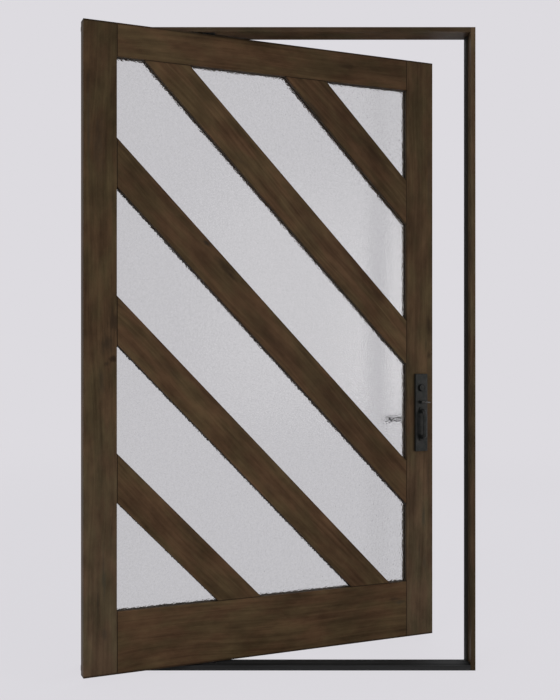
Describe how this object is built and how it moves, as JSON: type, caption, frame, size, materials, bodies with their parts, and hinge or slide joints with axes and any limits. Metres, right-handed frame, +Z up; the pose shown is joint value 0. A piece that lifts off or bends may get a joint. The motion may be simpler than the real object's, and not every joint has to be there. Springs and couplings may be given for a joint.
{
  "type": "pivot entry door",
  "caption": "Wide wooden entry door on offset floor and head pivots, with diagonal bars over obscure glass, a slim frame, a black sill and a thumb-latch pull",
  "frame": {"origin": "On the underside of the threshold, in the middle of the frame's width and on the middle plane of the closed leaf", "axes": "+X towards the lock side seen from outside, +Y into the building, +Z up; the outside faces -Y"},
  "size_m": [1.524, 0.6505, 2.484],
  "materials": {
    "stained_wood": "dark satin stain over knotty softwood",
    "obscure_glass": "rippled obscure glass, pale grey",
    "black_bronze": "satin black-bronze coating",
    "black_sill_metal": "satin black anodised sill",
    "bolt_steel": "plain steel",
    "black_seal": "matt black weather seal"
  },
  "bodies": {
    "frame": {"left_jamb": "stained_wood", "right_jamb": "stained_wood", "head_jamb": "stained_wood", "threshold": "black_sill_metal", "strike_side_seal": "black_seal", "pivot_side_seal": "black_seal", "floor_pivot_base": "black_bronze", "top_pivot_plate": "black_bronze"},
    "leaf": {"pivot_stile": "stained_wood", "lock_stile": "stained_wood", "top_rail": "stained_wood", "bottom_rail": "stained_wood", "diagonal_bar_1": "stained_wood", "diagonal_bar_2": "stained_wood", "diagonal_bar_3": "stained_wood", "diagonal_bar_4": "stained_wood", "diagonal_bar_5": "stained_wood", "glazing_bead_1": "stained_wood", "glazing_bead_2": "stained_wood", "glazing_bead_3": "stained_wood", "glazing_bead_4": "stained_wood", "glazing_bead_5": "stained_wood", "glazing_bead_6": "stained_wood", "glass_pane_1": "obscure_glass", "glass_pane_2": "obscure_glass", "glass_pane_3": "obscure_glass", "glass_pane_4": "obscure_glass", "glass_pane_5": "obscure_glass", "glass_pane_6": "obscure_glass", "bottom_pivot_shoe": "black_bronze", "top_pivot_block": "black_bronze", "handle_plate": "black_bronze", "pull_grip": "black_bronze", "deadbolt_cylinder": "black_bronze", "inside_plate": "black_bronze", "thumb_turn": "black_bronze", "lock_faceplate": "black_bronze", "latch_bolt": "bolt_steel", "deadbolt": "bolt_steel"},
    "thumb": {"thumbpiece": "black_bronze"},
    "lever": {"inside_lever": "black_bronze"}
  },
  "joints": [
    {"name": "leaf_pivot", "type": "hinge", "parent": "frame", "child": "leaf", "pos_m": [-0.3, 0, 0], "axis": [0, 0, 1], "range_deg": [-22.7, 67.3]},
    {"name": "thumb_latch", "type": "hinge", "parent": "leaf", "child": "thumb", "pos_m": [0.61232, 0.33312, 1.0165], "axis": [0.9225, 0.3859, 0], "range_deg": [0, 14], "stiffness_Nm_per_rad": 0.5, "springref_deg": -8.59},
    {"name": "lever_spindle", "type": "hinge", "parent": "leaf", "child": "lever", "pos_m": [0.57928, 0.41209, 0.9395], "axis": [0.3859, -0.9225, 0], "range_deg": [0, 40], "stiffness_Nm_per_rad": 0.8, "springref_deg": -20.05}
  ]
}
